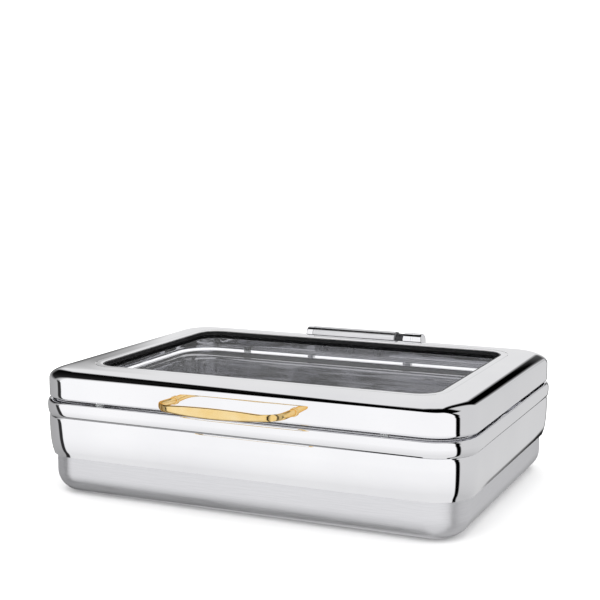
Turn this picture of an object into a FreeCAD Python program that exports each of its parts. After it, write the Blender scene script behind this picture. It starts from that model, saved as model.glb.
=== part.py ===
"""Rectangular induction chafer with a hinged glass-window lid, in millimetres.

The base is a deep-drawn water pan inside a polished skirt, topped by a rolled rim band and a deck frame that
carries a GN 1/1 food pan.  The lid is a pressed shell round a tempered glass pane.  It has a bowed handle at
the front and turns on a damped hinge at the back.  X runs along the front, +Y points to the hinge, +Z is up.
The origin is on the surface that the chafer stands on, under the middle of its body.

Cross-sections of the walls are drawn in two numbers: the inset from the body's outline and the height.
"""

import math
import os

import FreeCAD
import Part

V = FreeCAD.Vector

# Body outline, at the widest line of the rim band
BODY_W = 570.0
BODY_D = 422.0
CORNER_R = 54.0
SHEET = 1.2  # pressed stainless sheet
SKIRT_SHEET = 1.0

# Heights of the base
PLATE_T = 1.5
PAN_EDGE_R = 26.0
SKIRT_BOTTOM = 50.0
SKIRT_TOP = 100.7
BAND_BOTTOM = 101.2
FLANGE_BOTTOM = 115.3
DECK_BOTTOM = FLANGE_BOTTOM + SHEET
DECK_T = 1.0
DECK_TOP = DECK_BOTTOM + DECK_T
BAND_TOP = 120.5

# Insets of the base walls
PAN_INSET = 12.0
BAND_BELLY = 110.0  # above it the band's wall starts to turn in
BAND_LIP_INSET = 13.0
DECK_INSET = 6.0

# Food pan, GN 1/1 size, 65 deep
GN_W = 530.0
GN_D = 325.0
GN_FLANGE = 12.0
GN_CORNER_R = 50.0
GN_DEPTH = 65.0
GN_SHEET = 1.0
GN_TAPER = 4.0
BEAD_TOP = 120.0
BEAD_W = 5.0
PAN_CLEAR = 3.0

# Lid
LID_BOTTOM = 123.5
LID_INSET = 2.5
LID_WALL_BOTTOM = 130.0
LID_WALL_TOP = 142.5
SHOULDER_R = 13.0  # the tight round above the wall
SHOULDER_DEG = 60.0
CROWN_R = 45.0  # the gentler round between the shoulder and the surround
CROWN_DEG = 84.0
WINDOW_W = 455.0
WINDOW_D = 304.0
WINDOW_R = 28.0
SURROUND_TOP = 161.0
LIP_BOTTOM = 156.1
GLASS_T = 4.0
GLASS_TOP = 155.0
GASKET_RISE = 4.9  # how far the gasket's inner bead stands above the pane
GASKET_BEAD = 2.0
GLASS_LAP = 7.0  # how far the pane reaches under the lid's surround
GASKET_LAP = 9.0
GASKET_T = 1.1
RETAINER_LAP = 20.0
RETAINER_T = 1.2

# Handle
FOOT_X = 78.2
FOOT_Z = 138.5
FOOT_R = 5.2
HANDLE_OUT = 57.0
HANDLE_RISE = 2.5  # how much higher the grip is than its feet
BOW_HALF = 55.0
BOW_SAG = 3.0
HANDLE_BEND_R = 26.0

# Hinge
AXIS_Y = 222.0
AXIS_Z = 153.0
KNUCKLE_R = 12.5
PIN_R = 4.0
SLEEVE_BORE_R = 10.5
SLEEVE_X = (-81.5, 46.0)
LEFT_EAR_X = (-90.0, -82.0)
RIGHT_EAR_X = (60.0, 71.5)
LEAF_T = 3.0
SCREW_R = 2.5
SCREW_CLEAR_R = 2.6
SLIP = 0.05  # running clearance on a radius

HALF_D = BODY_D / 2
BACK_WALL_Y = HALF_D - LID_INSET


def rounded_wire(width, depth, radius, z):
    """Closed outline of a rounded rectangle, centred on the origin, at height z."""
    x = width / 2 - radius
    y = depth / 2 - radius
    edges = []
    centres = ((x, y), (-x, y), (-x, -y), (x, -y))
    for index, (cx, cy) in enumerate(centres):
        start = 90.0 * index
        angles = [math.radians(start + step) for step in (0.0, 45.0, 90.0)]
        arc = [V(cx + radius * math.cos(a), cy + radius * math.sin(a), z) for a in angles]
        edges.append(Part.Arc(*arc).toShape())
        nx, ny = centres[(index + 1) % 4]
        turn = math.radians(start + 90.0)
        end = V(nx + radius * math.cos(turn), ny + radius * math.sin(turn), z)
        edges.append(Part.LineSegment(arc[2], end).toShape())
    return Part.Wire(edges)


def rounded_slab(width, depth, radius, bottom, top):
    """Flat plate with a rounded-rectangle outline."""
    face = Part.Face(rounded_wire(width, depth, radius, bottom))
    return face.extrude(V(0, 0, top - bottom))


def inset_slab(inset, bottom, top):
    """Flat plate whose outline is the body's, taken in by inset."""
    return rounded_slab(BODY_W - 2 * inset, BODY_D - 2 * inset, CORNER_R - inset, bottom, top)


def window_slab(lap, bottom, top):
    """Flat plate whose outline is the window opening's, grown by lap."""
    return rounded_slab(WINDOW_W + 2 * lap, WINDOW_D + 2 * lap, WINDOW_R + lap, bottom, top)


def section_face(edges):
    """Face in the XZ plane from edges drawn with X as the distance from a corner's axis."""
    return Part.Face(Part.Wire(edges))


def line(a, b):
    return Part.LineSegment(V(CORNER_R - a[0], 0, a[1]), V(CORNER_R - b[0], 0, b[1])).toShape()


def arc(a, mid, b):
    points = [V(CORNER_R - p[0], 0, p[1]) for p in (a, mid, b)]
    return Part.Arc(*points).toShape()


def curve(points):
    spline = Part.BSplineCurve()
    spline.interpolate([V(CORNER_R - u, 0, z) for u, z in points])
    return spline.toShape()


def carry_round(face):
    """Solid made by carrying a section round the body's outline: four straight runs and four corners."""
    x = BODY_W / 2 - CORNER_R
    y = BODY_D / 2 - CORNER_R
    corners = ((x, y, 0.0), (-x, y, 90.0), (-x, -y, 180.0), (x, -y, 270.0))
    runs = (2 * x, 2 * y, 2 * x, 2 * y)
    pieces = []
    for (cx, cy, turn), length in zip(corners, runs):
        bend = face.revolve(V(0, 0, 0), V(0, 0, 1), 90.0)
        straight = face.extrude(V(0, length, 0))
        straight.rotate(V(0, 0, 0), V(0, 0, 1), 90.0)
        for shape in (bend, straight):
            shape.rotate(V(0, 0, 0), V(0, 0, 1), turn)
            shape.translate(V(cx, cy, 0))
            pieces.append(shape)
    return pieces[0].multiFuse(pieces[1:]).removeSplitter()


def rod(radius, start, end):
    """Round bar from one point to another."""
    span = end.sub(start)
    return Part.makeCylinder(radius, span.Length, start, span)


def bar_x(radius, x0, x1, y=AXIS_Y, z=AXIS_Z):
    return rod(radius, V(x0, y, z), V(x1, y, z))


def bar_y(radius, x, y0, y1, z):
    return rod(radius, V(x, y0, z), V(x, y1, z))


def block(x0, x1, y0, y1, z0, z1):
    return Part.makeBox(x1 - x0, y1 - y0, z1 - z0, V(x0, y0, z0))


def side_profile(points, x0, x1):
    """Solid from a polygon of (y, z) points, as long as x0 to x1."""
    corners = [V(x0, y, z) for y, z in points]
    face = Part.Face(Part.makePolygon(corners + corners[:1]))
    return face.extrude(V(x1 - x0, 0, 0))


def group(solids):
    return Part.makeCompound(solids)


def edges_at(shape, axis, value):
    """Edges that lie wholly in the plane where the given axis (0 X, 1 Y, 2 Z) has that value."""
    found = []
    for edge in shape.Edges:
        heights = [vertex.Point[axis] for vertex in edge.Vertexes] + [edge.CenterOfMass[axis]]
        if max(abs(h - value) for h in heights) < 0.01:
            found.append(edge)
    return found


# ---------------------------------------------------------------- base

def induction_plate():
    """Magnetic steel plate bonded under the water pan; the chafer stands on it."""
    return rounded_slab(440.0, 292.0, 40.0, 0.0, PLATE_T)


def water_pan():
    """Deep-drawn pan: flat bottom, large bottom edge, straight wall and a flange turned outwards."""
    bottom = PLATE_T
    bend_z = bottom + PAN_EDGE_R
    outer, inner = PAN_INSET, PAN_INSET + SHEET
    flat = outer + PAN_EDGE_R
    half = math.sin(math.radians(45.0))
    inner_r = PAN_EDGE_R - SHEET
    flange_out = 4.6
    flange_top = FLANGE_BOTTOM + SHEET
    outer_mid = (flat - PAN_EDGE_R * half, bend_z - PAN_EDGE_R * half)
    inner_mid = (flat - inner_r * half, bend_z - inner_r * half)
    edges = [
        line((flange_out, FLANGE_BOTTOM), (outer, FLANGE_BOTTOM)),
        line((outer, FLANGE_BOTTOM), (outer, bend_z)),
        arc((outer, bend_z), outer_mid, (flat, bottom)),
        line((flat, bottom), (flat, bottom + SHEET)),
        arc((flat, bottom + SHEET), inner_mid, (inner, bend_z)),
        line((inner, bend_z), (inner, flange_top)),
        line((inner, flange_top), (flange_out, flange_top)),
        line((flange_out, flange_top), (flange_out, FLANGE_BOTTOM)),
    ]
    wall = carry_round(section_face(edges))
    return wall.fuse(inset_slab(flat, bottom, bottom + SHEET)).removeSplitter()


SKIRT_LINE = [(3.2, SKIRT_TOP), (2.1, 98.5), (1.8, 91.0), (2.2, 79.0), (3.0, 68.0), (4.6, 58.0)]
SKIRT_LINE += [(7.6, SKIRT_BOTTOM)]


def body_skirt():
    """Polished outer wall, slightly full at the top and drawn in to the pan at the bottom."""
    inside = [(u + SKIRT_SHEET, z) for u, z in reversed(SKIRT_LINE)]
    bottom, top = line(SKIRT_LINE[-1], inside[0]), line(inside[-1], SKIRT_LINE[0])
    edges = [curve(SKIRT_LINE), bottom, curve(inside), top]
    return screw_holes_cut(carry_round(section_face(edges)), BASE_SCREWS, 203.0, 212.0)


BAND_LINE = [(2.4, BAND_BOTTOM), (1.1, 103.6), (0.3, 108.0), (0.0, 112.5), (0.4, 116.6), (1.5, 119.2)]
BAND_LINE += [(4.4, BAND_TOP)]


def rim_band():
    """Rolled collar: a full outer wall, a flat top that the lid closes on, and an inner lip on the deck."""
    inside = [(u + SHEET, z - SHEET * max(0.0, z - BAND_BELLY) / 14.0) for u, z in reversed(BAND_LINE)]
    under = BAND_TOP - SHEET
    inside[0] = (BAND_LINE[-1][0] + 0.6, under)
    lip = BAND_LIP_INSET
    edges = [
        curve(BAND_LINE),
        line(BAND_LINE[-1], (lip, BAND_TOP)),
        line((lip, BAND_TOP), (lip, DECK_TOP)),
        line((lip, DECK_TOP), (lip - SHEET, DECK_TOP)),
        line((lip - SHEET, DECK_TOP), (lip - SHEET, under)),
        line((lip - SHEET, under), inside[0]),
        curve(inside),
        line(inside[-1], BAND_LINE[0]),
    ]
    return carry_round(section_face(edges))


def deck_frame():
    """Flat frame that closes the base round the food pan, with a raised bead that carries the pan."""
    body_w = GN_W - 2 * GN_FLANGE
    body_d = GN_D - 2 * GN_FLANGE
    hole_w, hole_d = body_w + 2 * PAN_CLEAR, body_d + 2 * PAN_CLEAR
    frame = inset_slab(DECK_INSET, DECK_BOTTOM, DECK_TOP)
    bead = rounded_slab(hole_w + 2 * BEAD_W, hole_d + 2 * BEAD_W, GN_CORNER_R + BEAD_W, DECK_BOTTOM, BEAD_TOP)
    hole = rounded_slab(hole_w, hole_d, GN_CORNER_R, DECK_BOTTOM - 1, BEAD_TOP + 1)
    return frame.fuse(bead).cut(hole).removeSplitter()


def tapered_tub(grow, top, bottom, edge_radius):
    """Solid of the food pan's outside or inside: a tapered rounded box with a rounded bottom edge."""
    width, depth = GN_W - 2 * GN_FLANGE + 2 * grow, GN_D - 2 * GN_FLANGE + 2 * grow
    upper = rounded_wire(width, depth, GN_CORNER_R + grow, top)
    lower = rounded_wire(width - 2 * GN_TAPER, depth - 2 * GN_TAPER, GN_CORNER_R + grow - GN_TAPER, bottom)
    tub = Part.makeLoft([upper, lower], True, True)
    return tub.makeFillet(edge_radius, edges_at(tub, 2, bottom))


def food_pan():
    """GN 1/1 pan, 65 deep, with a flat flange and a short turned-down lip."""
    top = BEAD_TOP + GN_SHEET
    floor = top - GN_DEPTH
    tub = tapered_tub(0.0, BEAD_TOP, floor - GN_SHEET, 14.0)
    inside = tapered_tub(-GN_SHEET, top + 1.0, floor, 13.0)
    flange = rounded_slab(GN_W, GN_D, 20.0, BEAD_TOP, top)
    lip = rounded_slab(GN_W, GN_D, 20.0, BEAD_TOP - 1.5, BEAD_TOP)
    lip = lip.cut(rounded_slab(GN_W - 2.0, GN_D - 2.0, 19.0, BEAD_TOP - 3.0, BEAD_TOP))
    return tub.fuse([flange, lip]).cut(inside).removeSplitter()


# ---------------------------------------------------------------- lid

def shoulder_point(inward, degrees):
    """Point of the lid's shoulder or crown where the surface leans by degrees, moved inward off the outer skin."""
    angle = math.radians(degrees)
    centre_u = LID_INSET + SHOULDER_R
    centre_z = LID_WALL_TOP
    radius = SHOULDER_R
    if degrees > SHOULDER_DEG:
        turn = math.radians(SHOULDER_DEG)
        centre_u += (CROWN_R - SHOULDER_R) * math.cos(turn)
        centre_z -= (CROWN_R - SHOULDER_R) * math.sin(turn)
        radius = CROWN_R
    radius -= inward
    return (centre_u - radius * math.cos(angle), centre_z + radius * math.sin(angle))


def lid_shell():
    """Pressed lid: curled bottom edge, straight wall, round shoulder, raised surround and a window lip."""
    end_u, end_z = shoulder_point(0.0, CROWN_DEG)
    joint, joint_in = shoulder_point(0.0, SHOULDER_DEG), shoulder_point(SHEET, SHOULDER_DEG)
    mid_crown = (SHOULDER_DEG + CROWN_DEG) / 2
    curl = [(4.6, LID_BOTTOM), (3.1, LID_BOTTOM + 3.1), (LID_INSET, LID_WALL_BOTTOM)]
    curl_in = [(u + SHEET, z) for u, z in reversed(curl)]
    inner_end = (end_u, end_z - SHEET)
    crown_in = shoulder_point(SHEET, CROWN_DEG)
    edges = [
        curve(curl),
        line(curl[-1], (LID_INSET, LID_WALL_TOP)),
        arc((LID_INSET, LID_WALL_TOP), shoulder_point(0.0, SHOULDER_DEG / 2), joint),
        arc(joint, shoulder_point(0.0, mid_crown), (end_u, end_z)),
        line((end_u, end_z), inner_end),
        line(inner_end, crown_in),
        arc(crown_in, shoulder_point(SHEET, mid_crown), joint_in),
        arc(joint_in, shoulder_point(SHEET, SHOULDER_DEG / 2), (LID_INSET + SHEET, LID_WALL_TOP)),
        line((LID_INSET + SHEET, LID_WALL_TOP), curl_in[0]),
        curve(curl_in),
        line(curl_in[-1], curl[0]),
    ]
    wall = carry_round(section_face(edges))

    def raised(shift):
        """The surround's slope as a filled solid, lowered by shift."""
        width, depth, radius = BODY_W - 2 * end_u, BODY_D - 2 * end_u, CORNER_R - end_u
        foot = rounded_slab(width, depth, radius, end_z - 8.0 - shift, end_z - shift)
        lower = rounded_wire(width, depth, radius, end_z - shift)
        upper = rounded_wire(WINDOW_W, WINDOW_D, WINDOW_R, SURROUND_TOP - shift)
        return foot.fuse(Part.makeLoft([lower, upper], True, True))

    surround = raised(0.0).cut(raised(SHEET))
    surround = surround.cut(inset_slab(end_u - 5.0, end_z - 20.0, end_z - SHEET - 0.001))
    opening = window_slab(0.0, LIP_BOTTOM - 5.0, SURROUND_TOP + 5.0)
    lip = window_slab(SHEET, LIP_BOTTOM, SURROUND_TOP - SHEET)
    shell = wall.fuse([surround, lip]).cut(opening).removeSplitter()
    holes = [bar_y(SCREW_CLEAR_R, x, -HALF_D, -HALF_D + 8.0, FOOT_Z) for x in (-FOOT_X, FOOT_X)]
    holes += [bar_y(SCREW_CLEAR_R, x, HALF_D - 8.0, HALF_D, LEAF_SCREW_Z) for x in LEAF_SCREWS_X]
    return shell.cut(holes)


def window_glass():
    """Tempered pane."""
    return window_slab(GLASS_LAP, GLASS_TOP - GLASS_T, GLASS_TOP)


def glass_gasket():
    """Silicone channel round the pane's edge, with a bead that lines the window opening."""
    bottom, top = GLASS_TOP - GLASS_T - GASKET_T, GLASS_TOP + GASKET_T
    ring = window_slab(GASKET_LAP, bottom, top).fuse(window_slab(0.0, top, GLASS_TOP + GASKET_RISE))
    ring = ring.cut(window_slab(-GASKET_BEAD, bottom - 1, GLASS_TOP + GASKET_RISE + 1))
    return ring.cut(window_slab(GLASS_LAP, GLASS_TOP - GLASS_T, GLASS_TOP)).removeSplitter()


STUD_LAP = 14.5


def stud_places():
    """Places of the window studs: five along each long side and two along each short one."""
    x = WINDOW_W / 2 + STUD_LAP
    y = WINDOW_D / 2 + STUD_LAP
    long_side = [(px, side * y) for side in (-1, 1) for px in (-190.0, -95.0, 0.0, 95.0, 190.0)]
    short_side = [(side * x, py) for side in (-1, 1) for py in (-80.0, 80.0)]
    return long_side + short_side


def retainer_frame():
    """Flat frame that holds the gasket and pane up against the lid."""
    top = GLASS_TOP - GLASS_T - GASKET_T
    frame = window_slab(RETAINER_LAP, top - RETAINER_T, top)
    frame = frame.cut(window_slab(2.0, top - RETAINER_T - 1, top + 1))
    return frame.cut([rod(2.1, V(x, y, top - 3), V(x, y, top + 1)) for x, y in stud_places()])


def window_studs():
    """Weld studs under the surround that the retainer frame hangs on."""
    top = SURROUND_TOP - SHEET - 1.6
    bottom = GLASS_TOP - GLASS_T - GASKET_T - RETAINER_T - 4.5
    return group([rod(2.0, V(x, y, bottom), V(x, y, top)) for x, y in stud_places()])


def hex_nut(across, thickness, bore):
    """Hexagon nut standing on the origin, axis +Z."""
    corner = across / 2 / math.cos(math.radians(30.0))
    turns = [math.radians(60.0 * k) for k in range(7)]
    ring = [V(corner * math.cos(a), corner * math.sin(a), 0) for a in turns]
    nut = Part.Face(Part.makePolygon(ring)).extrude(V(0, 0, thickness))
    return nut.cut(Part.makeCylinder(bore, thickness + 2, V(0, 0, -1)))


def window_nuts():
    """Nuts on the window studs."""
    top = GLASS_TOP - GLASS_T - GASKET_T - RETAINER_T
    nuts = []
    for x, y in stud_places():
        nut = hex_nut(7.0, 3.2, 2.0 + SLIP)
        nut.translate(V(x, y, top - 3.2))
        nuts.append(nut)
    return group(nuts)


BUMPER_X = 187.0


def lid_bumpers():
    """Four silicone pads clipped inside the lid's edge, which keep it off the rim band."""
    pads = []
    for side in (-1, 1):
        for x in (-BUMPER_X, BUMPER_X):
            out, mid, inn = HALF_D - 4.0, HALF_D - 6.0, HALF_D - 9.0
            sole = block(x - 5, x + 5, inn, out, BAND_TOP + 0.1, LID_BOTTOM)
            back = block(x - 5, x + 5, inn, mid, LID_BOTTOM, LID_BOTTOM + 5)
            pad = sole.fuse(back).removeSplitter()
            if side < 0:
                pad = pad.mirror(V(0, 0, 0), V(0, 1, 0))
            pads.append(pad)
    return group(pads)


def handle_path(t):
    """Plan of the handle for t from -1 to 1: its x, its distance from the lid's wall and its heading."""
    side = math.copysign(1.0, t)
    a = abs(t)
    start = math.atan2(2 * BOW_SAG, BOW_HALF)
    if a <= 0.5:
        part = a / 0.5
        return side * BOW_HALF * part, HANDLE_OUT - BOW_SAG * part**2, side * start * part
    turn = start + (math.radians(90.0) - start) * min((a - 0.5) / 0.32, 1.0)
    x = BOW_HALF + HANDLE_BEND_R * (math.sin(turn) - math.sin(start))
    out = HANDLE_OUT - BOW_SAG - HANDLE_BEND_R * (math.cos(start) - math.cos(turn))
    if a > 0.82:
        out -= (out - 1.5) * (a - 0.82) / 0.18
    return side * x, out, side * turn


def lid_handle():
    """Bowed flat bar with rounded bends, tallest in the middle, on two round legs."""
    wall_y = -BACK_WALL_Y
    wires = []
    steps = 14
    for k in range(-steps, steps + 1):
        t = k / steps
        x, out, turn = handle_path(t)
        a = abs(t)
        tall = 6.4 - 1.6 * min(a / 0.8, 1.0) ** 1.5
        thick = 2.4 + 2.2 * max(a - 0.4, 0.0) / 0.6
        along = V(math.cos(turn), math.sin(turn), 0)
        up = V(0, 0, 1)
        across = up.cross(along)
        z = FOOT_Z + HANDLE_RISE * out / HANDLE_OUT
        matrix = FreeCAD.Matrix(
            up.x, across.x, along.x, x,
            up.y, across.y, along.y, wall_y - out,
            up.z, across.z, along.z, z,
            0, 0, 0, 1)
        wires.append(rounded_wire(2 * tall, 2 * thick, 0.85 * thick, 0.0).transformGeometry(matrix))
    grip = Part.makeLoft(wires, True, False)
    feet = [bar_y(FOOT_R, side * FOOT_X, wall_y - 3.0, wall_y, FOOT_Z) for side in (-1, 1)]
    bores = [bar_y(SCREW_R + SLIP, side * FOOT_X, wall_y - 7.5, wall_y + 1, FOOT_Z) for side in (-1, 1)]
    return grip.fuse(feet).cut(bores).removeSplitter()


def handle_washers():
    """Flat washers inside the lid, behind the handle's feet."""
    y = -BACK_WALL_Y + SHEET
    discs = []
    for x in (-FOOT_X, FOOT_X):
        discs.append(bar_y(3.9, x, y, y + 1.2, FOOT_Z).cut(bar_y(SCREW_CLEAR_R, x, y - 1, y + 3, FOOT_Z)))
    return group(discs)


def handle_screws():
    """Button-head screws that hold the handle from inside."""
    y = -BACK_WALL_Y + SHEET + 1.2
    screws = []
    for x in (-FOOT_X, FOOT_X):
        head = bar_y(4.1, x, y, y + 3.0, FOOT_Z)
        shank = bar_y(SCREW_R, x, -BACK_WALL_Y - 7.0, y, FOOT_Z)
        socket = bar_y(1.6, x, y + 1.2, y + 4.0, FOOT_Z)
        screws.append(head.fuse(shank).cut(socket).removeSplitter())
    return group(screws)


# ---------------------------------------------------------------- hinge

LEAF_SCREWS_X = (-60.0, -18.0, 24.0)
LEAF_SCREW_Z = LID_WALL_BOTTOM + 6.0
BRACKET_LOW = 72.0
BASE_SCREWS = [(x, BRACKET_LOW + up) for x in (-74.0, 74.0) for up in (7.0, 20.0)]
BRACKET_FRONT = HALF_D - 1.5
BRACKET_OUT = HALF_D + 0.4


def screw_holes_cut(shape, places, y0, y1):
    return shape.cut([bar_y(SCREW_CLEAR_R, x, y0, y1, z) for x, z in places])


def hinge_base_bracket():
    """Back plate with two ears that carry the hinge pin."""
    f, o, t = BRACKET_FRONT, BRACKET_OUT, LEAF_T
    low, knee, high = BRACKET_LOW, BAND_BOTTOM - 2.2, BAND_TOP - 1.5
    outside = [(o + t, high), (o + t, knee + 2.8), (f + t, knee - 1.2), (f + t, low)]
    path = [(f, low), (f, knee), (o, knee + 4.0), (o, high)] + outside
    plate = side_profile(path, LEFT_EAR_X[0], RIGHT_EAR_X[1] + 14.0)
    shapes = [plate]
    for x0, x1 in (LEFT_EAR_X, RIGHT_EAR_X):
        knuckle = bar_x(KNUCKLE_R, x0, x1)
        tip = (AXIS_Y + 10.5, AXIS_Z - 6.8)
        sides = [(o, high - 4.0), (o + t, high - 10.0), tip, (AXIS_Y, AXIS_Z), (o, AXIS_Z)]
        web = side_profile(sides, x0, x1)
        shapes += [knuckle, web]
    bracket = shapes[0].multiFuse(shapes[1:])
    bracket = bracket.cut(bar_x(PIN_R + 0.02, LEFT_EAR_X[0] - 5, RIGHT_EAR_X[1] + 5))
    return screw_holes_cut(bracket, BASE_SCREWS, 200.0, 220.0).removeSplitter()


def hinge_backing_plate():
    """Stiffening plate between the skirt and the water pan."""
    plate = block(-88.0, 84.0, 204.2, 207.0, BRACKET_LOW + 1.5, BRACKET_LOW + 26.0)
    return screw_holes_cut(plate, BASE_SCREWS, 200.0, 212.0)


def pan_screw(x, z, seat_y, end_y):
    """Screw along Y with its domed head on seat_y and its end at end_y, towards the inside."""
    head = bar_y(4.8, x, seat_y, seat_y + 2.8, z)
    head = head.makeFillet(1.6, edges_at(head, 1, seat_y + 2.8))
    shank = bar_y(SCREW_R, x, end_y, seat_y, z)
    slot = bar_y(1.4, x, seat_y + 1.4, seat_y + 4.0, z)
    return head.fuse(shank).cut(slot).removeSplitter()


def hinge_base_screws():
    return group([pan_screw(x, z, BRACKET_FRONT + LEAF_T, 200.8) for x, z in BASE_SCREWS])


def turned_nut(x, z, y0, thickness):
    nut = hex_nut(8.0, thickness, SCREW_R + SLIP)
    nut.rotate(V(0, 0, 0), V(1, 0, 0), -90.0)
    nut.translate(V(x, y0, z))
    return nut


def hinge_base_nuts():
    return group([turned_nut(x, z, 201.2, 2.8) for x, z in BASE_SCREWS])


def hinge_lid_leaf():
    """Sleeve round the damper with a leaf that is screwed to the lid's back wall."""
    x0, x1 = SLEEVE_X
    sleeve = bar_x(KNUCKLE_R, x0, x1)
    y0 = BACK_WALL_Y
    foot, step = LID_WALL_BOTTOM + 0.3, AXIS_Z - 9.0
    outside = [(y0 + LEAF_T, foot), (y0 + LEAF_T, step), (AXIS_Y, AXIS_Z - 11.0), (AXIS_Y, AXIS_Z)]
    leaf = side_profile([(y0, foot)] + outside + [(y0 + 1.0, AXIS_Z), (y0, AXIS_Z - 4.0)], -76.0, 40.0)
    shape = sleeve.fuse(leaf).cut(bar_x(SLEEVE_BORE_R, x0 - 1, x1 + 1))
    return screw_holes_cut(shape, [(x, LEAF_SCREW_Z) for x in LEAF_SCREWS_X], 200.0, 216.0).removeSplitter()


def lid_backing_bar():
    """Stiffening bar inside the lid's back wall."""
    y1 = BACK_WALL_Y - SHEET
    bar = block(-76.0, 40.0, y1 - 2.5, y1, LID_WALL_BOTTOM + 0.6, LID_WALL_TOP - 0.2)
    return screw_holes_cut(bar, [(x, LEAF_SCREW_Z) for x in LEAF_SCREWS_X], 195.0, 212.0)


def hinge_lid_screws():
    seat = BACK_WALL_Y + LEAF_T
    return group([pan_screw(x, LEAF_SCREW_Z, seat, BACK_WALL_Y - 7.4) for x in LEAF_SCREWS_X])


def hinge_lid_nuts():
    y0 = BACK_WALL_Y - SHEET - 2.5 - 3.5
    return group([turned_nut(x, LEAF_SCREW_Z, y0, 3.5) for x in LEAF_SCREWS_X])


def hinge_pin():
    """Steel pin through both ears."""
    return bar_x(PIN_R, LEFT_EAR_X[0], RIGHT_EAR_X[1] + 4.0)


def capped(x_open, x_end, bore_depth):
    """End cap from its open face to its domed end, with a blind bore for the pin."""
    length = abs(x_end - x_open)
    lo = min(x_open, x_end)
    cap = bar_x(KNUCKLE_R, lo, lo + length)
    cap = cap.makeFillet(min(4.5, length * 0.8), edges_at(cap, 0, x_end))
    if bore_depth:
        way = math.copysign(bore_depth, x_end - x_open)
        bore = sorted((x_open, x_open + way))
        cap = cap.cut(bar_x(PIN_R + SLIP, bore[0], bore[1]))
    return cap


def hinge_cap_left():
    return capped(LEFT_EAR_X[0], LEFT_EAR_X[0] - 2.5, 0.0)


def hinge_cap_right():
    return capped(RIGHT_EAR_X[1], RIGHT_EAR_X[1] + 17.0, 6.0)


DAMPER_R = 8.0
DAMPER_X = (-12.0, RIGHT_EAR_X[0])


def hinge_damper():
    """Rotary oil damper on the pin; its collar stands in the gap beside the right ear."""
    body = bar_x(DAMPER_R, *DAMPER_X)
    collar = bar_x(10.2, SLEEVE_X[1] + 2.6, RIGHT_EAR_X[0])
    return body.fuse(collar).cut(bar_x(PIN_R + SLIP, DAMPER_X[0] - 1, DAMPER_X[1] + 1)).removeSplitter()


def hinge_bush_left():
    """Flanged nylon bush between the sleeve and the pin."""
    bush = bar_x(SLEEVE_BORE_R - 0.02, SLEEVE_X[0], SLEEVE_X[0] + 10.0)
    return bush.cut(bar_x(PIN_R + SLIP, SLEEVE_X[0] - 1, SLEEVE_X[0] + 11.0))


def hinge_bush_right():
    """Flanged nylon bush between the sleeve and the damper."""
    bush = bar_x(SLEEVE_BORE_R - 0.02, SLEEVE_X[1] - 10.0, SLEEVE_X[1])
    flange = bar_x(KNUCKLE_R - 0.5, SLEEVE_X[1], SLEEVE_X[1] + 2.0)
    return bush.fuse(flange).cut(bar_x(DAMPER_R + SLIP, SLEEVE_X[1] - 11, SLEEVE_X[1] + 3)).removeSplitter()


def hinge_spring():
    """Torsion spring inside the sleeve that takes part of the lid's weight."""
    pitch, turns, radius, wire = 3.6, 13, 7.2, 1.0
    helix = Part.makeHelix(pitch, pitch * turns, radius)
    profile = Part.Wire([Part.Circle(V(radius, 0, 0), V(0, 1, 0), wire).toShape()])
    coil = Part.Wire(helix).makePipeShell([profile], True, True)
    coil.rotate(V(0, 0, 0), V(0, 1, 0), 90.0)
    coil.translate(V(-66.0, AXIS_Y, AXIS_Z))
    return coil


NODES = [
    induction_plate, water_pan, body_skirt, rim_band, deck_frame, food_pan,
    lid_shell, window_glass, glass_gasket, retainer_frame, window_studs, window_nuts, lid_bumpers,
    lid_handle, handle_washers, handle_screws,
    hinge_base_bracket, hinge_backing_plate, hinge_base_screws, hinge_base_nuts,
    hinge_lid_leaf, lid_backing_bar, hinge_lid_screws, hinge_lid_nuts,
    hinge_pin, hinge_cap_left, hinge_cap_right, hinge_damper, hinge_bush_left, hinge_bush_right, hinge_spring,
]


def main():
    os.makedirs("parts", exist_ok=True)
    for make in NODES:
        shape = make()
        shape.exportStep("parts/" + make.__name__ + ".step")
        valid = shape.isValid()
        print(f"{make.__name__}: {len(shape.Solids)} solid, {shape.Volume / 1000:.1f} cm3, valid {valid}")


main()
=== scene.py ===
# %% [markdown]
# # A rectangular chafer with a hinged glass-window lid
# A chafer keeps food warm at a buffet: hot water in a deep outer pan, a food pan in it, and a lid over
# both. The engineering model already says where every piece is and how it moves. Here it is loaded as a
# fixed frame, and the pieces that show are modelled again with smoother skins and given real finishes.

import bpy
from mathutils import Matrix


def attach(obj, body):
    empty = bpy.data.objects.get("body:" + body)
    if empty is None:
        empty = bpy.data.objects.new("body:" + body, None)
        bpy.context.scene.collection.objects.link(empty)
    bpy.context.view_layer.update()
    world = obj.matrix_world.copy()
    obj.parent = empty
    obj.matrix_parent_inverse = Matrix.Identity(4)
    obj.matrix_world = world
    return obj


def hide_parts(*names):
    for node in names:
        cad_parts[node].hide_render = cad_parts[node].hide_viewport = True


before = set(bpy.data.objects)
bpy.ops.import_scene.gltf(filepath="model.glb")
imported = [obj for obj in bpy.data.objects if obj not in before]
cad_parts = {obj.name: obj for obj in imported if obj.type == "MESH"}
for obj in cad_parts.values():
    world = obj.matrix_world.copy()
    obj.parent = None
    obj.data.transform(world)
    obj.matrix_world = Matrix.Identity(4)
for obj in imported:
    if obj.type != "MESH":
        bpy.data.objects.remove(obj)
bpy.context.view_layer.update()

# %% Modules
import math

import bmesh
import bpy
from mathutils import Vector
from mathutils.geometry import interpolate_bezier

MM = 0.001

# %% [markdown]
# ## Colour and finish helpers
# Every finish is a small tree of nodes. A few helpers keep each tree short: one starts a finish, one adds a
# node and fills its inputs, and one does arithmetic. Patterns read Object coordinates, which are metres on
# every piece, so a scratch has the same real size on a big skirt and on a small cap.

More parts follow.
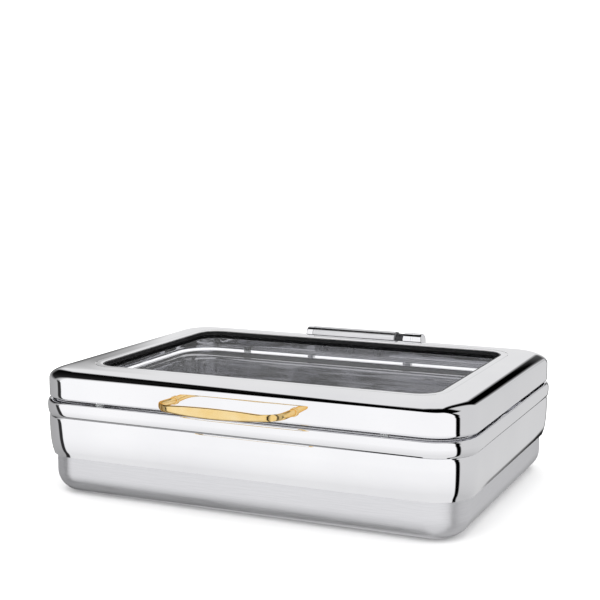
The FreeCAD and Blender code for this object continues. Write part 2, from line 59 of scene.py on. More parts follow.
# %% Node helpers
def new_finish(name):
    """An empty finish with one shader joined to its output."""
    finish = bpy.data.materials.new(name)
    finish.use_nodes = True
    tree = finish.node_tree
    tree.nodes.clear()
    output = tree.nodes.new("ShaderNodeOutputMaterial")
    shader = tree.nodes.new("ShaderNodeBsdfPrincipled")
    tree.links.new(shader.outputs["BSDF"], output.inputs["Surface"])
    return finish, tree, shader


def add(tree, kind, inputs=None, **settings):
    """A new node, with each input joined to another node or set to a value."""
    node = tree.nodes.new(kind)
    for key, value in settings.items():
        setattr(node, key, value)
    for key, value in (inputs or {}).items():
        if isinstance(value, bpy.types.NodeSocket):
            tree.links.new(value, node.inputs[key])
        else:
            node.inputs[key].default_value = value
    return node


def maths(tree, operation, first, second=0.0, third=0.0):
    node = add(tree, "ShaderNodeMath", {0: first, 1: second, 2: third}, operation=operation)
    return node.outputs[0]


print("node helpers:", new_finish.__name__, add.__name__, maths.__name__)

# %% Pattern helpers
def grain(tree, scale, stretch=(1.0, 1.0, 1.0), detail=3.0):
    """Noise on object coordinates, stretched so that it can run as brushed lines."""
    place = add(tree, "ShaderNodeTexCoord").outputs["Object"]
    spread = add(tree, "ShaderNodeMapping", {"Vector": place, "Scale": stretch}).outputs[0]
    noise = add(tree, "ShaderNodeTexNoise", {"Vector": spread, "Scale": scale, "Detail": detail})
    return noise.outputs["Fac"]


def between(tree, factor, low, high, start=0.35, end=0.65):
    """A value that goes from low to high as the pattern goes from start to end."""
    inputs = {"Value": factor, "From Min": start, "From Max": end, "To Min": low, "To Max": high}
    return add(tree, "ShaderNodeMapRange", inputs).outputs[0]


def shades(tree, factor, dark, light, start=0.3, end=0.7):
    """A colour that goes from dark to light as the pattern goes from start to end."""
    ramp = add(tree, "ShaderNodeValToRGB", {"Fac": factor})
    ramp.color_ramp.elements[0].position = start
    ramp.color_ramp.elements[0].color = (*dark, 1.0)
    ramp.color_ramp.elements[1].position = end
    ramp.color_ramp.elements[1].color = (*light, 1.0)
    return ramp.outputs["Color"]


def relief(tree, shader, height, strength, depth):
    """Lets a pattern stand up from the surface by a depth in metres."""
    bump = add(tree, "ShaderNodeBump", {"Height": height, "Strength": strength, "Distance": depth})
    tree.links.new(bump.outputs["Normal"], shader.inputs["Normal"])


print("pattern helpers:", grain.__name__, between.__name__, shades.__name__, relief.__name__)

# %% [markdown]
# ## Mirror-polished steel
# The lid, the rim band and the skirt are stainless steel, buffed until they mirror the room. A real mirror
# finish is never perfect: wiping leaves faint smears, the buffing wheel leaves hair lines, and the pressed
# sheet is very slightly wavy. The smears and hair lines change the roughness, and the waves are a tiny
# bump.

# %% Polished steel
def polished_steel():
    finish, tree, shader = new_finish("polished_steel")
    shader.inputs["Metallic"].default_value = 1.0
    smear = grain(tree, 9.0, detail=4.0)
    hairs = grain(tree, 60.0, (1.0, 1.0, 22.0), 2.0)
    tint = shades(tree, smear, (0.90, 0.90, 0.925), (0.955, 0.955, 0.975))
    tree.links.new(tint, shader.inputs["Base Color"])
    base = between(tree, smear, 0.018, 0.05)
    fine = between(tree, hairs, 0.0, 0.03, 0.55, 0.75)
    tree.links.new(maths(tree, "ADD", base, fine), shader.inputs["Roughness"])
    relief(tree, shader, grain(tree, 11.0, detail=1.0), 0.12, 0.0006)
    return finish


steel_mirror = polished_steel()
print("finish:", steel_mirror.name)

# %% [markdown]
# ## Satin steel
# The water pan below the skirt isn't buffed. Deep drawing and a fine belt leave a soft grey sheen with
# lines that run along the wall. The frame, plates, screws and spring have the same kind of finish, each
# with its own tone, roughness and direction of lines, so one function makes them all. The deck frame's very
# dark tone is painted shade for the gap under the lid.

# %% Satin steel
def satin_steel(name, dark, light, rough_low, rough_high, stretch):
    finish, tree, shader = new_finish(name)
    shader.inputs["Metallic"].default_value = 1.0
    lines = grain(tree, 38.0, stretch, 3.0)
    cloud = grain(tree, 5.0, detail=2.0)
    both = maths(tree, "MULTIPLY_ADD", lines, 0.6, maths(tree, "MULTIPLY", cloud, 0.4))
    tree.links.new(shades(tree, both, dark, light), shader.inputs["Base Color"])
    tree.links.new(between(tree, both, rough_low, rough_high), shader.inputs["Roughness"])
    relief(tree, shader, lines, 0.10, 0.0002)
    return finish


UPRIGHT, ALONG_X, PLATE = (1.0, 1.0, 30.0), (1.0, 24.0, 24.0), (1.0, 20.0, 1.0)
TURNED, DRAWN = (6.0, 1.0, 6.0), (1.0, 8.0, 8.0)
steel_pan = satin_steel("satin_pan_steel", (0.72, 0.72, 0.745), (0.84, 0.84, 0.865), 0.30, 0.42, UPRIGHT)
steel_soft = satin_steel("soft_steel", (0.62, 0.62, 0.64), (0.80, 0.80, 0.82), 0.14, 0.24, ALONG_X)
# Very dark steel: on the deck frame it is painted shade for the gap under the lid, and on the induction plate
# it is the plate's own dull grey.
dull_steel_and_painted_shade = satin_steel("dull_plate_steel_and_painted_shade", (0.25, 0.25, 0.26), (0.38, 0.38, 0.39), 0.42, 0.6, PLATE)
steel_screw = satin_steel("turned_screw_steel", (0.42, 0.42, 0.44), (0.66, 0.66, 0.68), 0.20, 0.34, TURNED)
steel_spring = satin_steel("spring_wire_steel", (0.16, 0.16, 0.17), (0.30, 0.30, 0.31), 0.28, 0.4, DRAWN)
print("satin finishes:", [m.name for m in (steel_pan, steel_soft, dull_steel_and_painted_shade, steel_screw, steel_spring)])

# %% [markdown]
# ## Pressed pan steel
# The food pan is bright from the press, but not flat: drawing leaves long shallow waves along its walls.
# They bend the mirrored room into streaks, which is how pressed pans are known at a glance. A stretched
# bump does it.

# %% Pressed steel
def pressed_steel():
    finish, tree, shader = new_finish("pressed_pan_steel")
    shader.inputs["Metallic"].default_value = 1.0
    waves = grain(tree, 9.0, (0.5, 3.0, 6.0), 2.0)
    scuffs = grain(tree, 30.0, (1.0, 12.0, 12.0), 3.0)
    tree.links.new(shades(tree, scuffs, (0.66, 0.66, 0.68), (0.86, 0.86, 0.88)), shader.inputs["Base Color"])
    tree.links.new(between(tree, scuffs, 0.04, 0.12), shader.inputs["Roughness"])
    relief(tree, shader, waves, 0.4, 0.0026)
    return finish


steel_pressed = pressed_steel()
print("finish:", steel_pressed.name)

# %% [markdown]
# ## Gold plate
# The handle is polished and then plated with a gold-coloured metal. Plating is thin, so it keeps the polish
# under it, a little softened. The colour deepens where fingers leave a film, and fine hair lines run along
# the grip.

# %% Gold plate
def gold_plate():
    finish, tree, shader = new_finish("gold_plate")
    shader.inputs["Metallic"].default_value = 1.0
    film = grain(tree, 45.0, detail=4.0)
    hairs = grain(tree, 70.0, (1.0, 20.0, 20.0), 2.0)
    tint = shades(tree, film, (0.90, 0.64, 0.26), (0.97, 0.78, 0.44))
    tree.links.new(tint, shader.inputs["Base Color"])
    rough = maths(tree, "ADD", between(tree, film, 0.14, 0.2), between(tree, hairs, 0.0, 0.05, 0.5, 0.8))
    tree.links.new(rough, shader.inputs["Roughness"])
    relief(tree, shader, hairs, 0.06, 0.0002)
    shader.inputs["Specular Tint"].default_value = (0.85, 0.50, 0.18, 1.0)
    return finish


gold = gold_plate()
print("finish:", gold.name)

# %% [markdown]
# ## Window glass
# The pane is 4 mm tempered glass, lightly smoked. At this thickness light passes nearly straight, so clear
# and glossy parts are mixed: the clear one tints what lies behind, the glossy one mirrors the room. Dried
# steam and wiping leave patches that are a little less smooth, so the gloss varies.

# %% Glass
def window_pane_glass():
    finish, tree, shader = new_finish("window_pane_glass")
    shader.inputs["Base Color"].default_value = (0.015, 0.016, 0.017, 1.0)
    shader.inputs["IOR"].default_value = 1.45
    wiped = grain(tree, 14.0, detail=5.0)
    tree.links.new(between(tree, wiped, 0.0, 0.03), shader.inputs["Roughness"])
    clear = add(tree, "ShaderNodeBsdfTransparent", {"Color": (0.96, 0.962, 0.975, 1.0)})
    smoke = between(tree, wiped, 0.16, 0.22)
    surface = add(tree, "ShaderNodeMixShader", {0: smoke, 1: clear.outputs[0], 2: shader.outputs[0]})
    output = next(node for node in tree.nodes if node.type == "OUTPUT_MATERIAL")
    tree.links.new(surface.outputs[0], output.inputs["Surface"])
    return finish


glass = window_pane_glass()
print("finish:", glass.name)

# %% [markdown]
# ## Rubber and plastic
# The seal round the pane is black silicone with a fine moulded texture. The four pads under the lid are
# clear silicone, which lets light through but scatters it. The bushes are dark grey nylon and the damper is
# black.

# %% Rubber and plastic
def moulded(name, dark, light, rough_low, rough_high, scale=180.0, clear=0.0):
    finish, tree, shader = new_finish(name)
    skin = grain(tree, scale, detail=5.0)
    tree.links.new(shades(tree, skin, dark, light), shader.inputs["Base Color"])
    tree.links.new(between(tree, skin, rough_low, rough_high), shader.inputs["Roughness"])
    shader.inputs["Transmission Weight"].default_value = clear
    relief(tree, shader, skin, 0.2, 0.0002)
    return finish


black_silicone = moulded("black_silicone", (0.006, 0.006, 0.007), (0.02, 0.02, 0.022), 0.38, 0.55)
clear_silicone = moulded("clear_silicone", (0.70, 0.72, 0.72), (0.85, 0.87, 0.87), 0.15, 0.3, 90.0, 0.75)
nylon = moulded("bush_nylon", (0.05, 0.05, 0.055), (0.10, 0.10, 0.105), 0.25, 0.4)
damper_black = moulded("damper_black", (0.01, 0.01, 0.012), (0.03, 0.03, 0.034), 0.3, 0.5)
print("moulded finishes:", black_silicone.name, clear_silicone.name, nylon.name, damper_black.name)

# %% [markdown]
# ## Starting and finishing a piece
# Each new piece starts from one primitive in edit mode. When its shape is done, its place is put into the
# mesh, its normals are made to point outwards, and it is told which body it rides on and given its finish
# in a material slot. The engineering node it stands for is hidden.

# %% Start and finish
def clear_selection():
    if bpy.context.mode != "OBJECT":
        bpy.ops.object.mode_set(mode="OBJECT")
    bpy.ops.object.select_all(action="DESELECT")


def pick(piece):
    clear_selection()
    piece.select_set(True)
    bpy.context.view_layer.objects.active = piece


def thicken(piece, thickness):
    """Gives a skin its sheet thickness, inwards from the side that was modelled."""
    pick(piece)
    wall = piece.modifiers.new("sheet", "SOLIDIFY")
    wall.thickness = thickness
    wall.offset = -1.0
    wall.use_even_offset = True
    bpy.ops.object.modifier_apply(modifier=wall.name)


def finish_piece(piece, name, material, body, nodes, sharp=32.0):
    """Sets a piece down for good: place, shading, name, finish, body, engineering node and slot."""
    pick(piece)
    bpy.ops.object.transform_apply(location=True, rotation=True, scale=True)
    bpy.ops.object.shade_smooth_by_angle(angle=math.radians(sharp))
    piece.name = name
    piece.data.name = name
    piece.data.materials.clear()
    piece.data.materials.append(material)
    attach(piece, body)
    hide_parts(*nodes)
    size = [round(1000 * d, 1) for d in piece.dimensions]
    print(name, "faces:", len(piece.data.polygons), "size mm:", size)


# %% [markdown]
# ## Rounded outlines
# Most of the chafer is one rounded rectangle after another, each a little further in or higher. By hand you
# add a plane at the size, bevel its four corner points into arcs, and keep only the outline. Stacking
# outlines and bridging each to the next makes a wall of any section. Every outline has the same number of
# points, so the faces stay clean and reflections run true. Each outline's points carry its number, so that
# a pair can be picked.

# %% Start a stack of outlines
ARC_STEPS, STRAIGHT_CUTS = 20, 5
HAIR = 0.02
RINGS = "ring_number"


def open_piece():
    """An empty mesh in edit mode, whose points can carry the number of their outline."""
    clear_selection()
    bpy.ops.mesh.primitive_plane_add(size=0.01)
    piece = bpy.context.object
    bpy.ops.object.mode_set(mode="EDIT")
    bpy.ops.mesh.delete(type="VERT")
    bmesh.from_edit_mesh(piece.data).verts.layers.int.new(RINGS)
    bpy.ops.mesh.select_mode(type="EDGE")
    return piece


def edit_mesh():
    return bmesh.from_edit_mesh(bpy.context.edit_object.data)


def number_new_points(number):
    """Numbers the points that have no number yet, which are the ones just added."""
    mesh = edit_mesh()
    layer = mesh.verts.layers.int[RINGS]
    for point in mesh.verts:
        if point[layer] == 0:
            point[layer] = number


# %% Add one outline
def add_outline(half_x, half_y, radius, height, number, steps=ARC_STEPS, cuts=STRAIGHT_CUTS):
    """A rounded rectangle round the middle, its arcs bevelled and its straight sides cut a few times."""
    bpy.ops.mesh.select_all(action="DESELECT")
    bpy.ops.mesh.primitive_plane_add(size=2.0, location=(0, 0, height))
    bpy.ops.transform.resize(value=(half_x, half_y, 1.0), center_override=(0, 0, height))
    bpy.ops.mesh.bevel(offset=radius, segments=steps, affect="VERTICES")
    bpy.ops.mesh.delete(type="ONLY_FACE")
    mesh = edit_mesh()
    layer = mesh.verts.layers.int[RINGS]
    for edge in mesh.edges:
        new = edge.verts[0][layer] == 0 and edge.verts[1][layer] == 0
        arc_edge = radius * math.pi / 2 / steps
        edge.select_set(new and edge.calc_length() > 1.2 * arc_edge)
    bpy.ops.mesh.subdivide(number_cuts=cuts)
    number_new_points(number)


# %% Bridge outlines
def pick_rings(*numbers):
    """Selects the outlines that carry these numbers, and nothing else."""
    mesh = edit_mesh()
    layer = mesh.verts.layers.int[RINGS]
    bpy.ops.mesh.select_all(action="DESELECT")
    for edge in mesh.edges:
        a, b = edge.verts
        edge.select_set(a[layer] == b[layer] and a[layer] in numbers)


def close_piece(piece, count, ring=False, capped=()):
    """Bridges the outlines in turn, caps the ones named, and makes every face look outwards."""
    pairs = [(k, k + 1) for k in range(1, count)] + ([(count, 1)] if ring else [])
    for pair in pairs:
        pick_rings(*pair)
        bpy.ops.mesh.bridge_edge_loops()
    for number in capped:
        pick_rings(number)
        bpy.ops.mesh.edge_face_add()
    bpy.ops.mesh.select_all(action="SELECT")
    bpy.ops.mesh.normals_make_consistent(inside=False)
    bpy.ops.object.mode_set(mode="OBJECT")
    piece.data.attributes.remove(piece.data.attributes[RINGS])
    return piece


def stack(outlines, **how):
    """Outlines bridged in turn, each level one lifted by a hair, because level ones can be bridged askew."""
    piece = open_piece()
    before = None
    for number, (half_x, half_y, radius, height) in enumerate(outlines, start=1):
        if height == before:
            height += HAIR * MM
        add_outline(half_x, half_y, radius, height, number)
        before = height
    return close_piece(piece, len(outlines), **how)


print("points in an outline:", 4 * (ARC_STEPS + 1 + STRAIGHT_CUTS))

# %% [markdown]
# ## Sections in millimetres
# The body's corners have a radius of 54 mm, and every wall follows them at its own distance inwards. The
# window follows its own rounded rectangle, and the food pan its own. A smooth line through a few points
# gives the fullness of the rolled walls, because a bent sheet never has corners between the points.

# %% Outlines of the four families
BODY = (285.0, 211.0, 54.0)  # half width, half depth and corner radius
WINDOW = (227.5, 152.0, 28.0)
TUB = (253.0, 150.5, 50.0)
FLANGE = (265.0, 162.5, 20.0)


def outline(sizes, outward, height):
    """Half width, half depth, corner radius and height in metres, let out by a distance."""
    return *((size + outward) * MM for size in sizes), height * MM


def inset(inward, height):
    """Outline of the whole body, drawn in by a distance."""
    return outline(BODY, -inward, height)


def window(outward, height):
    """Outline of the window opening, let out by a distance."""
    return outline(WINDOW, outward, height)


def tub(outward, height):
    """Outline of the food pan's walls, let out by a distance."""
    return outline(TUB, outward, height)


def flange(inward, height):
    """Outline of the food pan's flange, drawn in by a distance. Its corners are tighter than its walls'."""
    return outline(FLANGE, -inward, height)


print("outer sizes in mm:", [[2 * size for size in sizes[:2]] for sizes in (BODY, WINDOW, TUB, FLANGE)])


# %% Smooth lines and arcs
def smooth(points, steps=4):
    """Points on a smooth line through the given ones."""
    points = [Vector(point) for point in points]
    gaps = [(b - a).length for a, b in zip(points, points[1:])]
    slopes = [(points[1] - points[0]) / gaps[0]]
    for k in range(1, len(points) - 1):
        slopes.append((points[k + 1] - points[k - 1]) / (gaps[k - 1] + gaps[k]))
    slopes.append((points[-1] - points[-2]) / gaps[-1])
    line = []
    for k, gap in enumerate(gaps):
        a, b = points[k], points[k + 1]
        ends = (a, a + slopes[k] * gap / 3, b - slopes[k + 1] * gap / 3, b)
        line += interpolate_bezier(*ends, steps + 1)[:-1]
    return [tuple(point) for point in line + [points[-1]]]


def bend(centre, radius, start, end, steps):
    """Points on an arc of a section, with its angles in degrees."""
    angles = [math.radians(start + (end - start) * k / steps) for k in range(steps + 1)]
    return [(centre[0] + radius * math.cos(a), centre[1] + radius * math.sin(a)) for a in angles]


SHEET, THIN_SHEET = 1.1, 0.95
print("points on a quarter bend of 10 mm:", len(bend((0.0, 0.0), 10.0, 0, 90, 6)))

# %% [markdown]
# ## Water pan
# The water pan is drawn from one sheet: a flat bottom, a big round bottom edge, a straight wall and a
# flange turned outwards that the rim holds. Only its lower part shows below the skirt. Its outer skin is
# stacked from outlines, the bottom is filled, and the sheet's thickness is then added inwards.

# %% Build the water pan
PAN_INSET, PAN_EDGE_R, PAN_BOTTOM, PAN_TOP, FLANGE_R = 12.0, 26.0, 1.5, 115.4, 3.0

wall = [(4.7, PAN_TOP), (PAN_INSET - FLANGE_R, PAN_TOP)]
wall += bend((PAN_INSET - FLANGE_R, PAN_TOP - FLANGE_R), FLANGE_R, 90, 0, 5)[1:]
wall += [(PAN_INSET, z) for z in (80.0, 50.0, 38.0)]
wall += bend((PAN_INSET + PAN_EDGE_R, PAN_BOTTOM + PAN_EDGE_R), PAN_EDGE_R, 180, 270, 14)
water_pan = stack([inset(u, z) for u, z in wall], capped=(len(wall),))
thicken(water_pan, 1.15 * MM)
finish_piece(water_pan, "water_pan_drawn", steel_pan, "base", ["water_pan"])

# %% [markdown]
# ## Skirt
# The skirt is a separate polished wall round the pan. It is fullest near its top and is drawn in towards
# the bottom, which is what makes the reflections in it change with height. A smooth line gives that
# fullness.

# %% Build the skirt
SKIRT_TOP, SKIRT_FOOT = 100.7, 50.05

skirt_points = [(3.2, SKIRT_TOP), (2.1, 98.5), (1.8, 91.0), (2.2, 79.0), (3.0, 68.0), (4.5, 58.0)]
skirt_line = smooth(skirt_points + [(6.8, SKIRT_FOOT)])
skirt = stack([inset(u, z) for u, z in skirt_line])
thicken(skirt, THIN_SHEET * MM)
finish_piece(skirt, "skirt_wall", steel_mirror, "base", ["body_skirt"])

# %% [markdown]
# ## Rim band
# The band is a rolled collar on top of the skirt: an outer face that rolls in at both edges, a flat top
# that the lid closes on, and a lip that turns down to the deck. Stacking the whole profile keeps its edges
# round, as on real sheet.

# %% Build the rim band
BAND_TOP, LIP_INSET = 120.5, 12.98

band_face = [(2.4, 101.2), (1.1, 103.6), (0.3, 108.0), (0.03, 112.5), (0.4, 116.6), (1.5, 119.2)]
band_face += [(4.4, BAND_TOP)]
band_lip = [(7.0, BAND_TOP), (11.6, BAND_TOP), (12.5, 120.2), (LIP_INSET, 119.5), (LIP_INSET, 117.6)]
band_line = smooth(band_face) + band_lip
band = stack([inset(u, z) for u, z in band_line])
thicken(band, SHEET * MM)
finish_piece(band, "rolled_band", steel_mirror, "base", ["rim_band"])

# %% [markdown]
# ## Deck frame
# Under the lid a flat frame closes the gap between the rim and the food pan. A raised bead round its
# opening carries the pan's flange. It is stacked as a closed ring, so that both its faces and its hole are
# made at once.

# %% Build the deck frame
DECK_TOP = 117.5

deck_section = [inset(6.0, 116.55), inset(6.0, 117.4), inset(6.2, DECK_TOP), tub(9.6, DECK_TOP)]
deck_section += [tub(8.4, 117.9), tub(8.0, 118.6), tub(7.8, 119.5), tub(7.2, 119.95), tub(4.0, 119.98)]
deck_section += [tub(3.3, 119.6), tub(3.0, 119.0), tub(3.0, 116.6)]
deck = stack(deck_section, ring=True)
# The deck takes the very dark steel: painted shade, standing in for the shadow in the gap between lid and
# rim.
finish_piece(deck, "deck_with_bead", dull_steel_and_painted_shade, "base", ["deck_frame"])

# %% [markdown]
# ## Food pan
# The food pan is a full-size catering pan, 65 mm deep, that lifts out. Its walls lean in by 4 mm and meet
# the floor and the flange in round bends. The side that shows is its inside, so that skin is stacked, and
# the sheet's thickness goes behind it.

# %% Build the food pan
FLANGE_TOP, FOOD_WALL_TOP, FOOD_FLOOR, FOOD_EDGE_R, LEAN = 121.0, 117.5, 56.0, 13.0, 4.0

pan_section = [flange(0.0, 118.6), flange(0.0, 120.1), flange(0.3, 120.7), flange(0.9, FLANGE_TOP)]
pan_section += [tub(2.0, FLANGE_TOP), tub(0.6, 120.8), tub(-0.4, 120.2), tub(-0.9, 119.2)]
pan_section += [tub(-1.2, FOOD_WALL_TOP)]
for z in (104.0, 88.0, 78.0, 72.0):
    pan_section.append(tub(-1.0 - LEAN * (FOOD_WALL_TOP - z) / (FOOD_WALL_TOP - FOOD_FLOOR), z))
edge = bend((-1.0 - LEAN - FOOD_EDGE_R, FOOD_FLOOR + FOOD_EDGE_R), FOOD_EDGE_R, 0, -90, 9)
pan_section += [tub(u, z) for u, z in edge]
food_pan = stack(pan_section, capped=(len(pan_section),))
thicken(food_pan, THIN_SHEET * MM)
finish_piece(food_pan, "food_pan_pressed", steel_pressed, "food_pan", ["food_pan"])

# %% [markdown]
# ## Lid
# The lid is one deep pressing. From the bottom it has a curled edge, a low straight wall, a tight round
# shoulder, a gentler crown, and a raised frame round the window. A fine groove sets off a smooth strip
# beside the glass, and the sheet ends in a lip that turns down to hold the seal. All of it is one section
# carried round.

# %% Build the lid
LID_INSET, LID_WALL_TOP, SHOULDER_R, CROWN_R, FRAME_TOP = 2.5, 146.0, 9.0, 45.0, 160.5

lid_line = smooth([(4.0, 123.5), (2.8, 124.9), (LID_INSET, 127.5), (LID_INSET, 130.0)], 3)
lid_line += [(LID_INSET, 134.0), (LID_INSET, 138.5)]
lid_line += bend((LID_INSET + SHOULDER_R, LID_WALL_TOP), SHOULDER_R, 180, 120, 12)
lid_line += bend((29.5, 114.79), CROWN_R, 120, 96, 6)[1:]
frame_section = [window(24.0, 159.85), window(14.0, 160.3), window(9.9, FRAME_TOP), window(9.5, 160.1)]
frame_section += [window(9.1, FRAME_TOP), window(5.0, FRAME_TOP), window(1.6, 160.48), window(0.7, 160.3)]
frame_section += [window(0.2, 159.9), window(0.0, 159.2), window(0.0, 156.15)]
lid = stack([inset(u, z) for u, z in lid_line] + frame_section)
thicken(lid, SHEET * MM)
finish_piece(lid, "pressed_lid", steel_mirror, "lid", ["lid_shell"])

# %% [markdown]
# ## Seal
# A black silicone channel grips the pane's edge, and its ribbed bead lines the opening in the lid. Seen at
# a low angle the ribs catch thin lines of light. The section is closed, so it is stacked as a ring.

# %% Build the seal
seal_line = [(-0.05, 156.2), (-0.05, 159.3), (-0.4, 159.85), (-1.5, 159.85), (-1.95, 159.5), (-1.95, 158.9)]
seal_line += [(-1.5, 158.7), (-1.5, 158.5), (-1.95, 158.3), (-1.95, 157.6), (-1.5, 157.4), (-1.5, 157.2)]
seal_line += [(-1.95, 157.0), (-1.95, 156.3), (-1.5, 156.1), (-1.5, 155.9), (-1.95, 155.7), (-1.95, 155.03)]
seal_line += [(6.97, 155.03), (6.97, 150.97), (-1.95, 150.97), (-1.95, 149.95), (8.95, 149.95)]
seal_line += [(8.95, 156.05)]
seal = stack([window(u, z) for u, z in seal_line], ring=True)
finish_piece(seal, "window_seal", black_silicone, "lid", ["glass_gasket"])

# %% [markdown]
# ## Window pane
# The pane is 4 mm glass with ground edges. Two big flat faces and a narrow ground edge on each side are
# enough, and the edge matters because light gathers there.

# %% Build the pane
PANE_LOW, PANE_HIGH = 151.02, 154.98

pane_line = [(6.4, PANE_LOW), (6.9, 151.5), (6.9, 154.5), (6.4, PANE_HIGH)]
pane = stack([window(u, z) for u, z in pane_line], capped=(1, len(pane_line)))
finish_piece(pane, "window_pane", glass, "lid", ["window_glass"])

# %% [markdown]
# ## Bumpers
# Four clear silicone pads are clipped inside the lid's edge and keep steel off steel. One pad is modelled:
# a block at size with its edges rounded, and a thinner clip standing in it. The other three are copies,
# turned over to their own corners.

# %% Model one bumper
PAD_PLACE, CLIP_PLACE = Vector((187.0, -204.5, 122.05)) * MM, Vector((187.0, -203.5, 125.4)) * MM
PAD_SIZE, CLIP_SIZE = Vector((9.8, 4.9, 2.8)) * MM, Vector((9.6, 2.8, 5.8)) * MM


def model_bumper():
    clear_selection()
    bpy.ops.mesh.primitive_cube_add(size=1.0)
    pad = bpy.context.object
    bpy.ops.object.mode_set(mode="EDIT")
    bpy.ops.transform.resize(value=PAD_SIZE)
    bpy.ops.transform.translate(value=PAD_PLACE)
    bpy.ops.mesh.bevel(offset=0.8 * MM, segments=3, affect="EDGES")
    bpy.ops.mesh.select_all(action="DESELECT")
    bpy.ops.mesh.primitive_cube_add(size=1.0, location=CLIP_PLACE)
    bpy.ops.transform.resize(value=CLIP_SIZE)
    bpy.ops.mesh.bevel(offset=0.6 * MM, segments=3, affect="EDGES")
    bpy.ops.object.mode_set(mode="OBJECT")
    return pad


print("pad size in mm:", [round(1000 * size, 1) for size in PAD_SIZE])


# %% Place the four bumpers
def copy_of(piece):
    pick(piece)
    bpy.ops.object.duplicate(linked=False)
    return bpy.context.object


bumpers = [model_bumper()]
for flip_x, flip_y in ((-1, 1), (1, -1), (-1, -1)):
    pad = copy_of(bumpers[0])
    bpy.ops.object.mode_set(mode="EDIT")
    bpy.ops.mesh.select_all(action="SELECT")
    bpy.ops.transform.resize(value=(flip_x, flip_y, 1.0), center_override=(0, 0, 0))
    bpy.ops.mesh.normals_make_consistent(inside=False)
    bpy.ops.object.mode_set(mode="OBJECT")
    bumpers.append(pad)
for number, pad in enumerate(bumpers, start=1):
    finish_piece(pad, f"clear_bumper_{number}", clear_silicone, "lid", ["lid_bumpers"])

# %% [markdown]
# ## Handle
# The handle is a flat bar, tallest in the middle, bowed a little and bent round at both ends into two legs.
# A bar like this is one cross-section carried along a bent path, and it changes size as it goes: taller in
# the middle, rounder at the legs. Each station is a rounded outline turned to face along the path, and all
# are bridged. Going from one foot to the other, the bow is the middle half of the way, then comes the bend,
# then the leg.

# %% The handle's path
WALL_Y, FOOT_Z, LEG_X = -208.5, 138.5, 78.2
REACH, RISE, BOW_HALF, BOW_SAG, BEND = 57.0, 2.5, 55.0, 3.0, 26.0
BEND_START, BEND_END = 0.5, 0.82
MIDDLE_TALL, LEG_TALL, MIDDLE_THICK, LEG_THICK = 6.4, 4.0, 2.4, 3.9


def handle_station(t):
    """Place, heading and half sizes of the bar at t, from one foot (-1) to the other (1)."""
    side, a = math.copysign(1.0, t), abs(t)
    start = math.atan2(2 * BOW_SAG, BOW_HALF)
    bow = a / BEND_START
    x, out, turn = BOW_HALF * bow, REACH - BOW_SAG * bow ** 2, start * bow
    if a > BEND_START:
        turn = start + (math.pi / 2 - start) * min((a - BEND_START) / (BEND_END - BEND_START), 1.0)
        x = BOW_HALF + BEND * (math.sin(turn) - math.sin(start))
        out = REACH - BOW_SAG - BEND * (math.cos(start) - math.cos(turn))
    if a > BEND_END:
        out -= (out - 1.5) * (a - BEND_END) / (1.0 - BEND_END)
    height = FOOT_Z + RISE * out / REACH
    tall = MIDDLE_TALL - (MIDDLE_TALL - LEG_TALL) * min(a / 0.55, 1.0) ** 2
    thick = MIDDLE_THICK + (LEG_THICK - MIDDLE_THICK) * max(a - 0.3, 0.0) / 0.7
    return Vector((side * x, WALL_Y - out, height)) * MM, side * turn, tall * MM, thick * MM


print("middle of the bar in mm:", [round(1000 * c, 1) for c in handle_station(0.0)[0]])


# %% Carry the section along it
def add_station(t, number):
    """One outline of the bar, stood on edge, turned along the path and moved to its place."""
    place, turn, tall, thick = handle_station(t)
    add_outline(tall, thick, 0.9 * thick, 0.0, number, steps=8, cuts=3)
    mesh = edit_mesh()
    layer = mesh.verts.layers.int[RINGS]
    bpy.ops.mesh.select_all(action="DESELECT")
    for point in mesh.verts:
        if point[layer] == number:
            point.select_set(True)
    mesh.select_flush(True)
    bpy.ops.transform.rotate(value=math.pi / 2, orient_axis="Y", center_override=(0, 0, 0))
    bpy.ops.transform.rotate(value=turn, orient_axis="Z", center_override=(0, 0, 0))
    bpy.ops.transform.translate(value=place)


STATIONS = 81
handle = open_piece()
for number in range(1, STATIONS + 1):
    add_station(-1.0 + 2.0 * (number - 1) / (STATIONS - 1), number)
close_piece(handle, STATIONS, capped=(1, STATIONS))
print("handle stations:", STATIONS)

# %% Add the two feet
FOOT_R, FOOT_DEPTH = 5.2, 3.0

pick(handle)
bpy.ops.object.mode_set(mode="EDIT")
for side in (-1, 1):
    bpy.ops.mesh.select_all(action="DESELECT")
    foot = (side * LEG_X * MM, (WALL_Y - FOOT_DEPTH / 2) * MM, FOOT_Z * MM)
    bpy.ops.mesh.primitive_cylinder_add(
        vertices=48, radius=FOOT_R * MM, depth=FOOT_DEPTH * MM, location=foot, rotation=(math.pi / 2, 0, 0))
    bpy.ops.mesh.bevel(offset=0.5 * MM, segments=3, affect="EDGES")
bpy.ops.object.mode_set(mode="OBJECT")
finish_piece(handle, "bowed_handle", gold, "lid", ["lid_handle"], sharp=40.0)

# %% [markdown]
# ## End caps of the hinge
# The lid turns on a sprung and damped hinge. Its sleeve goes round a damper with the lid, and rounded caps
# close both ends of the barrel. A cap is turned on a lathe: circles of different sizes along one line, so
# it is stacked like the outlines.

# %% Turn the caps
HINGE_Y, HINGE_Z, CAP_R, GROOVE_R = 222.0, 153.0, 12.45, 12.1


def turned(profile, **how):
    """Circles given as (place along the hinge, radius), bridged in turn."""
    piece = open_piece()
    for number, (x, radius) in enumerate(profile, start=1):
        bpy.ops.mesh.select_all(action="DESELECT")
        centre = (x * MM, HINGE_Y * MM, HINGE_Z * MM)
        bpy.ops.mesh.primitive_circle_add(
            vertices=64, radius=radius * MM, location=centre, rotation=(0, math.pi / 2, 0))
        number_new_points(number)
    return close_piece(piece, len(profile), **how)


def rounded_end(x, way, radius, edge):
    """Profile points of a rounded end that closes at x."""
    return [(x - way * edge * (1 - math.sin(a)), radius - edge * (1 - math.cos(a)))
            for a in (math.radians(15 * k) for k in range(7))]


